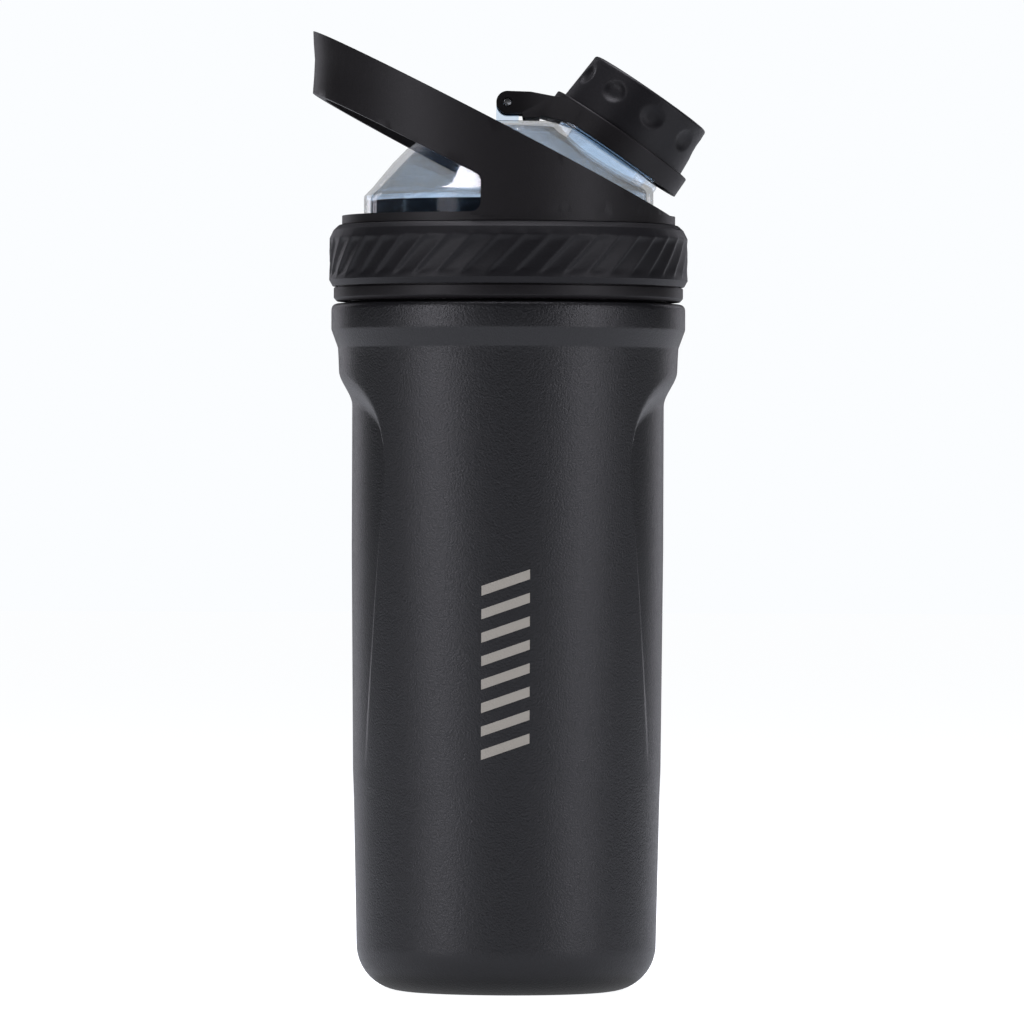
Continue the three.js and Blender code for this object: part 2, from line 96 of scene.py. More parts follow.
# Each ring of the dome: its height, its radius and how far it sits from the bottle's axis.
DOME_RINGS = [
    (208.5, 36.5, 1.1),
    (215.0, 29.1, -0.9),
    (218.5, 24.8, -1.75),
    (221.2, 20.8, -1.7),
    (224.4, 14.8, -0.4),
    (DOME_TOP, 12.0, 0.0),
]
SPOUT_TILT = math.radians(34.5)
SPOUT_PLACE = Vector((29.5, 0.0, 222.4))  # middle of the tether ring's top face
SPOUT_R = 13.6
SPOUT_BORE = 11.7
SPOUT_TOP = 2.5
PIN_PLACE = Vector((-0.4, 0.0, 230.5))
KNUCKLE_R = 2.9
PIN_R = 1.1
PIN_HOLE_R = 1.2
PIN_HALF = 9.5
RING_INNER = 18.55
RING_OUTER = 20.25
RING_Z = (-5.45, 0.0)
CAP_BOTTOM = -4.9
CAP_TOP = 13.2

SPOUT_FRAME = Matrix.Translation(SPOUT_PLACE * MM) @ Matrix.Rotation(SPOUT_TILT, 4, "Y")


# ------------------------------------------------------------------ what a user would change
def length_choice(label, words, size):
    return FloatProperty(name=label, description=words, default=size * MM, unit="LENGTH")


def count_choice(label, words, count):
    return IntProperty(name=label, description=words, default=count)


def colour_choice(label, words, code):
    return FloatVectorProperty(
        name=label, description=words, subtype="COLOR", min=0, max=1, default=linear(code)
    )


class ShakerSizes(bpy.types.PropertyGroup):
    """Sizes of the bottle's visible features, in millimetres here and in metres in the file."""

    shoulder_radius: length_choice("Shoulder radius", "Radius of the flask's rim band", 46.0)
    recess_radius: length_choice("Recess radius", "Radius inside the flask's grip recesses", 40.5)
    grip_radius: length_choice("Grip radius", "Outer radius of the soft ring round the lid", 46.6)
    flute_count: count_choice("Flutes", "Number of slanted flutes round the grip ring", 44)
    flute_depth: length_choice("Flute depth", "Depth of a flute at its deepest edge", 0.55)
    cap_radius: length_choice("Cap radius", "Radius of the drinking cap at its foot", 18.2)
    dimple_count: count_choice("Cap dimples", "Number of oval finger dimples round the cap", 9)
    strap_wall: length_choice("Strap thickness", "Thickness of the loop and the cover's wall", 3.2)


class ShakerColours(bpy.types.PropertyGroup):
    """Colours of the bottle's finishes."""

    coat: colour_choice("Powder coat", "Colour of the coated steel", "#141417")
    mark: colour_choice("Etched mark", "Colour of the bars etched through the coat", "#a5a095")
    plastic: colour_choice("Plastic", "Colour of the moulded cover, collar and ring", "#110e10")
    soft: colour_choice("Soft grip", "Colour of the soft grip ring and cap", "#0d0c10")
    silicone: colour_choice("Silicone", "Colour of the seals", "#0d0d0e")
    clear: colour_choice("Clear plastic", "Tint of the dome and spout", "#6a9ccb")
    steel: colour_choice("Steel", "Colour of the bare stainless steel", "#c3c4c6")


# ------------------------------------------------------------------ modelling
def blend(t):
    """A smooth step from 0 to 1."""
    t = min(max(t, 0.0), 1.0)
    return t * t * (3 - 2 * t)


def mix(a, b, t):
    return a + (b - a) * t


def arc(centre, radius, start, end, steps):
    """Points (x, y, corner) on a round stretch, between two angles in degrees."""
    angles = [math.radians(mix(start, end, i / steps)) for i in range(steps + 1)]
    return [
        (centre[0] + radius * math.cos(a), centre[1] + radius * math.sin(a), 0) for a in angles
    ]


def softened(outline, closed=True, steps=4):
    """An outline of (x, y, corner radius) points with its corners rounded."""
    points = []
    count = len(outline)
    for i, (x, y, corner) in enumerate(outline):
        here = Vector((x, y))
        if not corner or (not closed and i in (0, count - 1)):
            points.append(here)
            continue
        before = Vector(outline[i - 1][:2]) - here
        after = Vector(outline[(i + 1) % count][:2]) - here
        reach = corner / math.tan(before.angle(after) / 2)
        start = here + before.normalized() * min(reach, 0.48 * before.length)
        end = here + after.normalized() * min(reach, 0.48 * after.length)
        for k in range(steps + 1):
            t = k / steps
            points.append(start * (1 - t) ** 2 + here * 2 * t * (1 - t) + end * t**2)
    return points


def open_line(name, points):
    """A new mesh in edit mode, drawn as a line of extruded points in millimetres."""
    bpy.ops.object.select_all(action="DESELECT")
    bpy.ops.mesh.primitive_plane_add(size=MM)
    piece = bpy.context.object
    piece.name = piece.data.name = name
    bpy.ops.object.mode_set(mode="EDIT")
    bpy.ops.mesh.select_all(action="SELECT")
    bpy.ops.mesh.merge(type="CENTER")
    bpy.ops.transform.translate(value=Vector(points[0]) * MM)
    for here, there in zip(points, points[1:]):
        step = (Vector(there) - Vector(here)) * MM
        bpy.ops.mesh.extrude_vertices_move(TRANSFORM_OT_translate={"value": step})
    return piece


def close_mesh(piece):
    """Merges doubles, turns every face outwards and leaves edit mode."""
    bpy.ops.mesh.select_all(action="SELECT")
    bpy.ops.mesh.remove_doubles(threshold=0.002 * MM)
    bpy.ops.mesh.normals_make_consistent(inside=False)
    bpy.ops.object.mode_set(mode="OBJECT")
    return piece


def turned(name, outline, columns=128, steps=4):
    """A profile of (radius, height, corner radius) points spun round the Z axis."""
    on_axis = outline[0][0] == 0
    points = softened(outline, not on_axis, steps)
    if not on_axis:
        points.append(points[0])
    piece = open_line(name, [(p.x, 0, p.y) for p in points])
    bpy.ops.mesh.select_all(action="SELECT")
    bpy.ops.mesh.spin(steps=columns, angle=FULL_TURN, center=(0, 0, 0), axis=(0, 0, 1))
    return close_mesh(piece)


def prism(name, points, push):
    """A closed outline of points in millimetres, filled and extruded along a vector."""
    piece = open_line(name, [*points, points[0]])
    bpy.ops.mesh.select_all(action="SELECT")
    bpy.ops.mesh.remove_doubles(threshold=0.002 * MM)
    bpy.ops.mesh.select_all(action="SELECT")
    bpy.ops.mesh.edge_face_add()
    bpy.ops.mesh.extrude_region_move(TRANSFORM_OT_translate={"value": Vector(push) * MM})
    return close_mesh(piece)


def rod(name, radius, start, end, columns=48):
    """A round bar along Z."""
    return turned(name, [(0, start, 0), (radius, start, 0), (radius, end, 0), (0, end, 0)], columns)


def ring_outline(radii, heights, corner=0):
    """The square section of a plain ring."""
    (inner, outer), (low, high) = radii, heights
    return [(inner, low, corner), (outer, low, corner), (outer, high, corner), (inner, high, corner)]


def box(name, low, high):
    """A plain block between two corners in millimetres, for cutting or joining."""
    (x0, y0, z0), (x1, y1, z1) = low, high
    return prism(name, [(x0, y0, z0), (x1, y0, z0), (x1, y1, z0), (x0, y1, z0)], (0, 0, z1 - z0))


def placed(piece, matrix):
    """Moves a piece's mesh and leaves its object at the origin."""
    piece.data.transform(matrix)
    return piece


def laid_along_y(piece, place):
    """Turns a bar that stands on Z to lie along Y through a place in millimetres."""
    return placed(piece, Matrix.Translation(Vector(place) * MM) @ Matrix.Rotation(math.pi / 2, 4, "X"))


def reshaped(piece, move):
    """Moves each point of a mesh with a function of its place in millimetres."""
    for vertex in piece.data.vertices:
        vertex.co = Vector(move(vertex.co / MM)) * MM
    piece.data.update()
    return piece


def apply_modifier(piece, kind, settings):
    bpy.ops.object.select_all(action="DESELECT")
    piece.select_set(True)
    bpy.context.view_layer.objects.active = piece
    modifier = piece.modifiers.new(kind.title(), kind)
    for key, value in settings.items():
        setattr(modifier, key, value)
    bpy.ops.object.modifier_apply(modifier=modifier.name)


def combined(piece, tool, operation):
    """Joins a piece with a tool, or cuts it with the tool, which is then deleted."""
    apply_modifier(piece, "BOOLEAN", {"object": tool, "operation": operation, "solver": "EXACT"})
    bpy.data.objects.remove(tool)


def joined(piece, *tools):
    for tool in tools:
        combined(piece, tool, "UNION")


def cut(piece, *tools):
    for tool in tools:
        combined(piece, tool, "DIFFERENCE")


def eased(piece, width, steps=2, angle=28):
    """Rounds a piece's sharp edges."""
    apply_modifier(
        piece,
        "BEVEL",
        {
            "width": width * MM,
            "segments": steps,
            "limit_method": "ANGLE",
            "angle_limit": math.radians(angle),
            "miter_outer": "MITER_ARC",
            "use_clamp_overlap": True,
        },
    )


LID_THREAD = {"root": 2.2, "tip": 1.0, "lead": 8.0, "turn": 0.75, "starts": 2}
CAP_THREAD = {"root": 1.6, "tip": 0.8, "lead": 9.0, "turn": 0.28, "starts": 3}
RUN_OUT = 12 / 360  # turn over which a ridge rises from its wall


def ridge(name, radii, form, start, phase):
    """One screw ridge from a wall's radius to its crest's, of a form's widths, lead and turn."""
    wall, crest = radii
    root, tip, turn = form["root"] / 2, form["tip"] / 2, form["turn"]
    section = [(wall, -root), (crest, -tip), (crest, tip), (wall, root)]
    piece = open_line(name, [(r, 0, start + z) for r, z in [*section, section[0]]])
    bpy.ops.mesh.select_all(action="SELECT")
    bpy.ops.mesh.remove_doubles(threshold=0.002 * MM)
    bpy.ops.object.mode_set(mode="OBJECT")
    steps = round(turn * 96)
    apply_modifier(
        piece,
        "SCREW",
        {
            "angle": FULL_TURN * turn,
            "screw_offset": form["lead"] * turn * MM,
            "steps": steps,
            "render_steps": steps,
            "use_smooth_shade": False,
        },
    )
    bpy.ops.object.mode_set(mode="EDIT")
    bpy.ops.mesh.select_all(action="SELECT")
    bpy.ops.mesh.fill_holes(sides=4)
    close_mesh(piece)

    def run_out(p):
        """Sinks the ridge's two ends into the wall."""
        along = math.atan2(p.y, p.x) % FULL_TURN / FULL_TURN
        height = blend(min(along, max(turn - along, 0)) / RUN_OUT)
        radius = math.hypot(p.x, p.y)
        scale = mix(wall, radius, mix(0.1, 1.0, height)) / radius
        return (p.x * scale, p.y * scale, p.z)

    reshaped(piece, run_out)
    return placed(piece, Matrix.Rotation(FULL_TURN * phase, 4, "Z"))


def thread(name, radii, form, start):
    """The ridges of a thread, one for each of its starts."""
    starts = form["starts"]
    return [ridge(name, radii, form, start, i / starts) for i in range(starts)]


def merged(piece, *others):
    """Joins objects into one mesh without cutting them."""
    bpy.ops.object.select_all(action="DESELECT")
    for other in others:
        other.select_set(True)
    piece.select_set(True)
    bpy.context.view_layer.objects.active = piece
    bpy.ops.object.join()
    return piece


def finished(piece, finish, body, slot, *nodes, angle=32):
    """Gives a piece its finish and shading, hangs it under its body and hides the frame nodes it stands
    for.
    """
    bpy.ops.object.select_all(action="DESELECT")
    piece.select_set(True)
    bpy.context.view_layer.objects.active = piece
    bpy.ops.object.shade_smooth_by_angle(angle=math.radians(angle))
    piece.data.materials.clear()
    piece.data.materials.append(finish)
    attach(piece, body)
    if nodes:
        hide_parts(*nodes)


# ------------------------------------------------------------------ finishes
def add(tree, kind, settings=None, inputs=None):
    """Adds a node, sets its properties and sockets, and links any socket given another's output."""
    node = tree.nodes.new("ShaderNode" + kind)
    for key, value in (settings or {}).items():
        setattr(node, key, value)
    for key, value in (inputs or {}).items():
        if isinstance(value, bpy.types.NodeSocket):
            tree.links.new(value, node.inputs[key])
        else:
            node.inputs[key].default_value = value
    return node


def new_finish(name):
    """A new material with its node tree, its shader and its object coordinates."""
    material = bpy.data.materials.new(name)
    material.use_nodes = True
    tree = material.node_tree
    coords = add(tree, "TexCoord").outputs["Object"]
    return material, tree, tree.nodes["Principled BSDF"], coords


def per_mm(size):
    """Noise scale that gives grains of a size in millimetres."""
    return 1 / (size * MM)


def rgba(colour):
    return (*colour, 1.0)


def grained(tree, shader, coords, grain, height, roughness, colour, darker=0.8):
    """A fine moulded or sprayed grain in height, roughness and tone, of a size in millimetres."""
    noise = add(tree, "TexNoise", None, {"Vector": coords, "Scale": per_mm(grain), "Detail": 3.0})
    fac = noise.outputs["Fac"]
    bump = add(tree, "Bump", None, {"Height": fac, "Distance": height * MM, "Strength": 1.0})
    shine = add(tree, "MapRange", None, {"Value": fac, "To Min": roughness[0], "To Max": roughness[1]})
    low = [c * darker for c in colour[:3]]
    tone = add(tree, "Mix", {"data_type": "RGBA"}, {0: fac, 6: rgba(low), 7: rgba(colour)})
    tree.links.new(bump.outputs["Normal"], shader.inputs["Normal"])
    tree.links.new(shine.outputs["Result"], shader.inputs["Roughness"])
    tree.links.new(tone.outputs[2], shader.inputs["Base Color"])
    return tone.outputs[2], shine.outputs["Result"]


def powder_coat(colours):
    """Textured polyester powder coat on steel, sprayed and baked: a satin black whose fine pimpled
    skin breaks highlights into a soft sparkle. Slanted bars are etched through it at the front."""
    material, tree, shader, coords = new_finish("powder_coated_steel")
    # Real coat grain is about 0.2 mm; it is drawn at 0.5 mm so that it shows.
    tone, shine = grained(tree, shader, coords, 0.5, 0.12, (0.28, 0.46), colours.coat, 0.5)
    mask = etched_bars(tree, coords)
    colour = add(tree, "Mix", {"data_type": "RGBA"}, {0: mask, 6: tone, 7: rgba(colours.mark)})
    rough = add(tree, "Mix", {"data_type": "FLOAT"}, {0: mask, 2: shine, 3: 0.5})
    tree.links.new(colour.outputs[2], shader.inputs["Base Color"])
    tree.links.new(rough.outputs[0], shader.inputs["Roughness"])
    shader.inputs["IOR"].default_value = 1.5
    return material


# The column's middle, half width, foot and pitch, each bar's fall to the side and its share of the pitch.
BARS = {"x": -0.4, "half": 6.2, "low": 63.0, "pitch": 6.0, "count": 8, "slant": 0.36, "bar": 0.42}


def etched_bars(tree, coords):
    """Mask of a plain column of slanted bars on the front of the flask. The mapping counts half
    widths along X and bars along Z."""
    half, pitch, count = BARS["half"] * MM, BARS["pitch"] * MM, BARS["count"]
    corner = (-BARS["x"] * MM / half, 0, -BARS["low"] * MM / pitch)
    counted = {"Vector": coords, "Location": corner, "Scale": (1 / half, 1, 1 / pitch)}
    axes = add(tree, "SeparateXYZ", None, {0: add(tree, "Mapping", None, counted).outputs[0]}).outputs
    slanted = {0: axes["X"], 1: -BARS["slant"], 2: axes["Z"]}
    height = add(tree, "Math", {"operation": "MULTIPLY_ADD"}, slanted).outputs[0]
    place = add(tree, "Math", {"operation": "FRACT"}, {0: height}).outputs[0]
    middle = BARS["bar"] / 2
    tests = [
        add(tree, "Math", {"operation": "COMPARE"}, {0: axes["X"], 1: 0.0, 2: 1.0}),
        add(tree, "Math", {"operation": "COMPARE"}, {0: height, 1: count / 2, 2: count / 2}),
        add(tree, "Math", {"operation": "COMPARE"}, {0: place, 1: middle, 2: middle}),
        add(tree, "Math", {"operation": "LESS_THAN"}, {0: axes["Y"], 1: 0.0}),
    ]
    mask = tests[0].outputs[0]
    for test in tests[1:]:
        mask = add(tree, "Math", {"operation": "MULTIPLY"}, {0: mask, 1: test.outputs[0]}).outputs[0]
    return mask


def moulded_plastic(colours):
    """Polypropylene moulded in a spark-eroded tool: an even, fine matte black with soft highlights."""
    material, tree, shader, coords = new_finish("moulded_polypropylene")
    # Spark-eroded texture is about 0.1 mm; it is drawn at 0.4 mm so that it shows.
    grained(tree, shader, coords, 0.4, 0.03, (0.42, 0.56), colours.plastic)
    shader.inputs["IOR"].default_value = 1.49
    shader.inputs["Specular IOR Level"].default_value = 0.32
    return material


def soft_grip(colours):
    """Soft-touch thermoplastic elastomer, overmoulded: a deep, even black with a faint velvety
    sheen on edges that turn away."""
    material, tree, shader, coords = new_finish("soft_touch_elastomer")
    grained(tree, shader, coords, 0.45, 0.04, (0.42, 0.56), colours.soft)
    shader.inputs["IOR"].default_value = 1.5
    shader.inputs["Specular IOR Level"].default_value = 0.3
    shader.inputs["Sheen Weight"].default_value = 0.06
    shader.inputs["Sheen Roughness"].default_value = 0.4
    return material


def seal_silicone(colours):
    """Pressed black silicone rubber: deep black and dull."""
    material, tree, shader, coords = new_finish("pressed_silicone")
    grained(tree, shader, coords, 0.8, 0.02, (0.50, 0.62), colours.silicone)
    shader.inputs["IOR"].default_value = 1.41
    shader.inputs["Specular IOR Level"].default_value = 0.1
    return material


def clear_copolyester(colours):
    """Clear copolyester, injection moulded and polished: like glass, with a cool blue tint and a
    slight waviness from the flow of the melt. Its IOR is below the real one, about 1.57, and it is
    partly see-through: both were chosen for a pale dome that shows what lies behind it."""
    material, tree, shader, coords = new_finish("clear_copolyester")
    flow = add(tree, "TexNoise", None, {"Vector": coords, "Scale": per_mm(14), "Detail": 1.0})
    fac = flow.outputs["Fac"]
    bump = add(tree, "Bump", None, {"Height": fac, "Distance": 0.25 * MM, "Strength": 1.0})
    pale = [mix(c, 1.0, 0.2) for c in colours.clear]
    tint = add(tree, "Mix", {"data_type": "RGBA"}, {0: fac, 6: rgba(colours.clear), 7: rgba(pale)})
    tree.links.new(bump.outputs["Normal"], shader.inputs["Normal"])
    tree.links.new(tint.outputs[2], shader.inputs["Base Color"])
    shader.inputs["Transmission Weight"].default_value = 0.97
    shader.inputs["Roughness"].default_value = 0.06
    shader.inputs["IOR"].default_value = 1.33
    shader.inputs["Specular IOR Level"].default_value = 0.2
    shader.inputs["Alpha"].default_value = 0.38
    return material


def stainless_steel(colours):
    """Stainless steel, drawn and electropolished: bright, with fine turning lines round the axis."""
    material, tree, shader, coords = new_finish("electropolished_stainless")
    stretch = add(tree, "Mapping", None, {"Vector": coords, "Scale": (0.12, 0.12, 1.0)})
    lines = add(
        tree, "TexNoise", None, {"Vector": stretch.outputs[0], "Scale": per_mm(0.5), "Detail": 2.0}
    )
    fac = lines.outputs["Fac"]
    bump = add(tree, "Bump", None, {"Height": fac, "Distance": 0.02 * MM, "Strength": 0.6})
    shine = add(tree, "MapRange", None, {"Value": fac, "To Min": 0.18, "To Max": 0.34})
    tree.links.new(bump.outputs["Normal"], shader.inputs["Normal"])
    tree.links.new(shine.outputs["Result"], shader.inputs["Roughness"])
    shader.inputs["Base Color"].default_value = rgba(colours.steel)
    shader.inputs["Metallic"].default_value = 1.0
    return material


FINISHES = {
    "coat": powder_coat,
    "plastic": moulded_plastic,
    "soft": soft_grip,
    "silicone": seal_silicone,
    "clear": clear_copolyester,
    "steel": stainless_steel,
}
_made = {}


def finish_of(context, name):
    """The finish of that name, made when it is first asked for."""
    if name not in _made:
        _made[name] = FINISHES[name](context.scene.shaker_colours)
    return _made[name]


# ------------------------------------------------------------------ flask
RECESS_TOP = 156.3
RECESS_WIDEST = 135.0
RECESS_LOW = 58.0
PRESSED_Z = (50.0, 166.0)  # stretch of the wall whose points may move
RECESS_HALF = math.radians(41.5)
RECESS_NARROWING = math.radians(0.2266)  # half angle lost for each mm below the widest place
ARCH_POWER = 2.6
STEP_SIDE = 1.9  # mm across the step at the recess's sides
STEP_TOP = 9.0  # mm across the step at the top of its arch
FLOOR_TAPER = 0.0091  # mm that a recess's floor draws in for each mm of height under FLOOR_BEND
FLOOR_BEND = 115.0
BODY_R = (39.7, 44.1)  # at the two heights below
BODY_Z = (50.0, 164.0)
WAIST_R = 44.25  # under the shoulder's chamfer
SHELL_WALL = 1.0
LINER_R = 36.2
LINER_RIM_R = 39.6
LINER_WALL = 0.8
LINER_Z = 8.0


def body_radius(z):
    """Radius of the plain body, which tapers from the shoulder to the foot."""
    low, high = BODY_Z
    if z >= low:
        return mix(*BODY_R, (z - low) / (high - low))
    return mix(FOOT_R, BODY_R[0], (z - BASE_CORNER_R) / (low - BASE_CORNER_R))


def recess_field(around, z):
    """Over 0 inside a grip recess and under 0 outside; around is the angle from the X axis."""
    if z > RECESS_WIDEST:
        up = (z - RECESS_WIDEST) / (RECESS_TOP - RECESS_WIDEST)
        return 1 - ((around / RECESS_HALF) ** ARCH_POWER + up**ARCH_POWER) ** (1 / ARCH_POWER)
    return 1 - around / (RECESS_HALF - RECESS_NARROWING * (RECESS_WIDEST - z))


def gathered(around, z):
    """Draws the mesh's columns together along the recess's edge, so that its step is smooth."""
    steep = 147.0  # above this height the arch runs more across the columns than along them
    tightest = 0.35  # spacing of the columns at the edge, against their spacing elsewhere
    if z > RECESS_WIDEST:
        up = (min(z, steep) - RECESS_WIDEST) / (RECESS_TOP - RECESS_WIDEST)
        edge = RECESS_HALF * (1 - up**ARCH_POWER) ** (1 / ARCH_POWER)
    else:
        edge = RECESS_HALF - RECESS_NARROWING * (RECESS_WIDEST - z)
    inside = around < RECESS_HALF
    off = (around - RECESS_HALF) / (RECESS_HALF if inside else math.pi / 2 - RECESS_HALF)
    off *= mix(tightest, 1.0, abs(off))
    drawn = edge + off * (edge if inside else math.pi / 2 - edge)
    low, high = PRESSED_Z
    return mix(around, drawn, blend((z - low) / 8) * blend((high - z) / 6))


def recess_depth(around, z, recess_radius):
    """How far the wall is pressed in from the plain body."""
    floor_radius = recess_radius - FLOOR_TAPER * max(0.0, FLOOR_BEND - z)
    depth = body_radius(z) - floor_radius
    if depth <= 0 or z < RECESS_LOW:
        return 0.0
    small = 0.02  # mm moved to feel how fast the field falls
    radius = body_radius(z)
    here = recess_field(around, z)
    slope_side = (recess_field(around + small / radius, z) - here) / small
    slope_up = (recess_field(around, z + small) - here) / small
    slope = math.hypot(slope_side, slope_up)
    upright = abs(slope_up) / slope
    step = mix(STEP_SIDE, STEP_TOP, upright**2)
    return depth * blend(0.5 + here / slope / step)


class SHAKER_OT_flask(bpy.types.Operator):
    """Models the coated outer shell with its grip recesses and threaded neck, and the base disc"""

    bl_idname = "shaker.flask"
    bl_label = "Outer shell and base"

    def execute(self, context):
        sizes = context.scene.shaker_sizes
        shoulder = sizes.shoulder_radius / MM
        recess = sizes.recess_radius / MM
        wall = SHELL_WALL
        corner = (FOOT_R - BASE_CORNER_R, BASE_CORNER_R)
        side_rows = [52 + 1.6 * i for i in range(52)]
        arch_rows = [135.5 + 0.7 * i for i in range(42)]
        rows = [20, 30, 40, 50, *side_rows, *arch_rows]
        inner_rows = [20, 50, *[58 + 3 * i for i in range(36)]]
        neck_inner = NECK_R - wall + 0.1
        outline = [
            (BASE_FLAT_R + 0.3, 0.5, 0),
            (BASE_FLAT_R + 0.8, 0, 0.3),
            *arc(corner, BASE_CORNER_R, -84, 0, 14),
            *[(body_radius(z), z, 0) for z in rows],
            (WAIST_R, 166.8, 2.0),
            (shoulder, 171.6, 2.0),
            (shoulder, DECK_Z, 1.8),
            (NECK_R, DECK_Z, 0.8),
            (NECK_R, SHELL_TOP, 0.4),
            (neck_inner, SHELL_TOP, 0.2),
            (neck_inner, DECK_Z - wall, 0),
            (shoulder - 2.1, DECK_Z - wall, 0),
            (shoulder - wall, DECK_Z - 2.3, 0),
            (shoulder - wall, 172.0, 0),
            (WAIST_R - wall, 167.2, 0),
            *[(body_radius(z) - wall, z, 0) for z in reversed(inner_rows)],
            *arc(corner, BASE_CORNER_R - wall, 0, -84, 8),
            (BASE_FLAT_R + 0.3, wall, 0),
        ]
        shell = turned("flask_shell", outline, columns=300, steps=6)

        def press(p):
            radius = math.hypot(p.x, p.y)
            if not PRESSED_Z[0] < p.z < PRESSED_Z[1] or radius < FOOT_R - 0.9:
                return p
            around = gathered(math.atan2(abs(p.y), abs(p.x)), p.z)
            radius -= recess_depth(around, p.z, recess)
            x, y = radius * math.cos(around), radius * math.sin(around)
            return (math.copysign(x, p.x), math.copysign(y, p.y), p.z)

        reshaped(shell, press)
        merged(shell, *thread("neck_ridge", (NECK_R - 0.3, 42.1), LID_THREAD, 186.0))
        finished(shell, finish_of(context, "coat"), "flask", "powder_coat", "outer_shell", angle=24)
        shell.data.materials.append(finish_of(context, "steel"))
        for face in shell.data.polygons:  # the neck above the deck is bare steel
            if face.center.z > (DECK_Z + 0.9) * MM:
                face.material_index = 1
        base_outline = [
            (0, 0.25, 0),
            (23.0, 0.25, 0),
            (23.6, 0, 0.3),
            (BASE_FLAT_R, 0, 0.4),
            (BASE_FLAT_R, wall, 0),
            (0, wall, 0),
        ]
        base = turned("base_disc", base_outline, columns=160)
        finished(base, finish_of(context, "coat"), "flask", "powder_coat", "base_plate")
        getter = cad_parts["getter_pill"].data  # hidden between the walls, so the frame's own
        getter.materials.clear()
        getter.materials.append(finish_of(context, "steel"))
        return {"FINISHED"}


class SHAKER_OT_liner(bpy.types.Operator):
    """Models the bare steel liner that holds the drink"""

    bl_idname = "shaker.liner"
    bl_label = "Inner liner"

    def execute(self, context):
        top = node_box("inner_liner")[1].z
        wall = LINER_WALL
        outline = [
            (0, LINER_Z, 0),
            (LINER_R, LINER_Z, 6.0),
            (LINER_R, 168.0, 6.0),
            (LINER_RIM_R, 174.0, 6.0),
            (LINER_RIM_R, top, 0.3),
            (LINER_RIM_R - wall, top, 0.3),
            (LINER_RIM_R - wall, 174.2, 6.0),
            (LINER_R - wall, 168.2, 6.0),
            (LINER_R - wall, LINER_Z + wall, 6.0 - wall),
            (0, LINER_Z + wall, 0),
        ]
        liner = turned("inner_liner_wall", outline, columns=160, steps=8)
        finished(liner, finish_of(context, "steel"), "flask", "steel", "inner_liner")
        return {"FINISHED"}


# ------------------------------------------------------------------ lid
FLUTE_Z = (184.4, 196.0)
FLUTE_TWIST = math.radians(1.23)  # turn of a flute for each mm of height
FLUTE_STEEP = 0.2  # share of a flute's width that its steep side takes
FLUTE_END = 2.5  # mm over which a flute runs out at either end
FLUTE_COLUMNS = 14  # columns of the mesh for each flute
FLANGE_R = 40.0  # the dome's foot, held between the collar and the cover
FLANGE_Z = (197.4, 198.6)
SEAL_INNER = 33.6
MIXER_R = (31.1, 33.1)
MIXER_Z = (186.0, 194.5)
MIXER_PITCH = 13.0
MIXER_BARS = 4  # each way
MIXER_BAR_HALF = 0.9


class SHAKER_OT_collar(bpy.types.Operator):
    """Models the hard collar with its band, its deck and its inner thread, and the lid gasket"""

    bl_idname = "shaker.collar"
    bl_label = "Collar and gasket"

    def execute(self, context):
        outline = [
            (42.9, 178.9, 0.3),
            (44.6, 178.9, 0.3),
            (45.4, 179.8, 0.4),
            (45.4, 182.5, 0.35),
            (44.4, 182.5, 0),
            (44.4, 196.6, 0),
            (43.2, 196.6, 0),
            (43.2, FLANGE_Z[1], 0.2),
            (40.5, FLANGE_Z[1], 0.2),
            (40.5, 197.1, 0),
            (33.5, 197.1, 0.3),
            (33.5, 188.0, 0.4),
            (35.2, 188.0, 0.4),
            (35.2, 195.6, 0.4),
            (42.9, 195.6, 0),
        ]
        collar = turned("collar_shell", outline, columns=256)
        merged(collar, *thread("collar_ridge", (43.2, 41.5), LID_THREAD, 184.0))
        finished(collar, finish_of(context, "plastic"), "lid", "black_plastic", "lid_collar")
        gasket = turned("gasket_ring", ring_outline((38.5, 41.3), (194.2, 195.3), 0.3), columns=160)
        finished(gasket, finish_of(context, "silicone"), "gasket", "black_silicone", "lid_gasket")
        return {"FINISHED"}


class SHAKER_OT_grip(bpy.types.Operator):
    """Models the soft grip ring with its slanted flutes"""

    bl_idname = "shaker.grip"
    bl_label = "Grip ring"

    def execute(self, context):
        sizes = context.scene.shaker_sizes
        radius = sizes.grip_radius / MM
        depth = sizes.flute_depth / MM
        count = sizes.flute_count
        rows = [FLUTE_Z[0] + 0.4 * i for i in range(28)]
        outline = [
            (GRIP_INNER, 182.8, 0),
            (radius - 0.9, 182.8, 0.3),
            (radius - 0.25, 184.0, 0.5),
            *[(radius, z, 0) for z in rows],
            (radius - 0.2, 195.6, 0.5),
            (radius - 1.1, 197.4, 0.8),
            (43.6, 199.2, 0.5),
            (43.6, 196.9, 0),
            (GRIP_INNER, 196.9, 0),
        ]
        ring = turned("grip_sleeve", outline, columns=FLUTE_COLUMNS * count)

        def flute(p):
            around = math.hypot(p.x, p.y)
            if around < radius - 0.25:
                return p
            up, down = p.z - FLUTE_Z[0], FLUTE_Z[1] - p.z
            ends = blend(up / FLUTE_END) * blend(down / FLUTE_END)
            turn = math.atan2(p.y, p.x) - FLUTE_TWIST * up
            place = (turn * count / FULL_TURN) % 1
            saw = place / FLUTE_STEEP if place < FLUTE_STEEP else (1 - place) / (1 - FLUTE_STEEP)
            scale = (around - depth * ends * math.sin(saw * math.pi / 2)) / around
            return (p.x * scale, p.y * scale, p.z)

        reshaped(ring, flute)
        finished(ring, finish_of(context, "soft"), "lid", "soft_black", "grip_ring")
        return {"FINISHED"}


def loop_top(x):
    return LOOP_RIM[1] + (LOOP_RIM[0] - x) * LOOP_SLOPE


def loop_under(x):
    return loop_top(x) - LOOP_DEPTH


